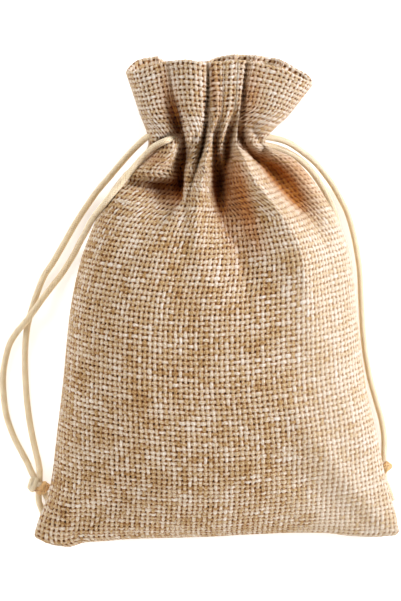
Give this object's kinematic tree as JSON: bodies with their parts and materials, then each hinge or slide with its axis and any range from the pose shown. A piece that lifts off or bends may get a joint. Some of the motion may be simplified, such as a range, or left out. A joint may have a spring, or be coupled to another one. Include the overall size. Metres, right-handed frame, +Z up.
{
  "type": "drawstring burlap sack",
  "caption": "Small filled drawstring sack in open burlap weave, drawn shut below a ruffled heading, lying on its back with a knotted cord at either side.",
  "frame": {"origin": "under the middle of the cloth's box, on the surface it lies on", "axes": "+Z up, +Y from the bottom fold to the mouth, +X to the right as seen from above with the mouth away from the viewer"},
  "size_m": [0.1082, 0.133, 0.0341],
  "materials": {
    "burlap": "coarse plain weave, matt",
    "cord": "fine cream braid, soft sheen"
  },
  "bodies": {
    "root": {"sack": "burlap", "cord_left_outer": "cord", "cord_left_inner": "cord", "cord_right_outer": "cord", "cord_right_inner": "cord", "knot_left": "cord", "knot_right": "cord", "tail_left_outer": "cord", "tail_left_inner": "cord", "tail_right_outer": "cord", "tail_right_inner": "cord"}
  },
  "joints": []
}
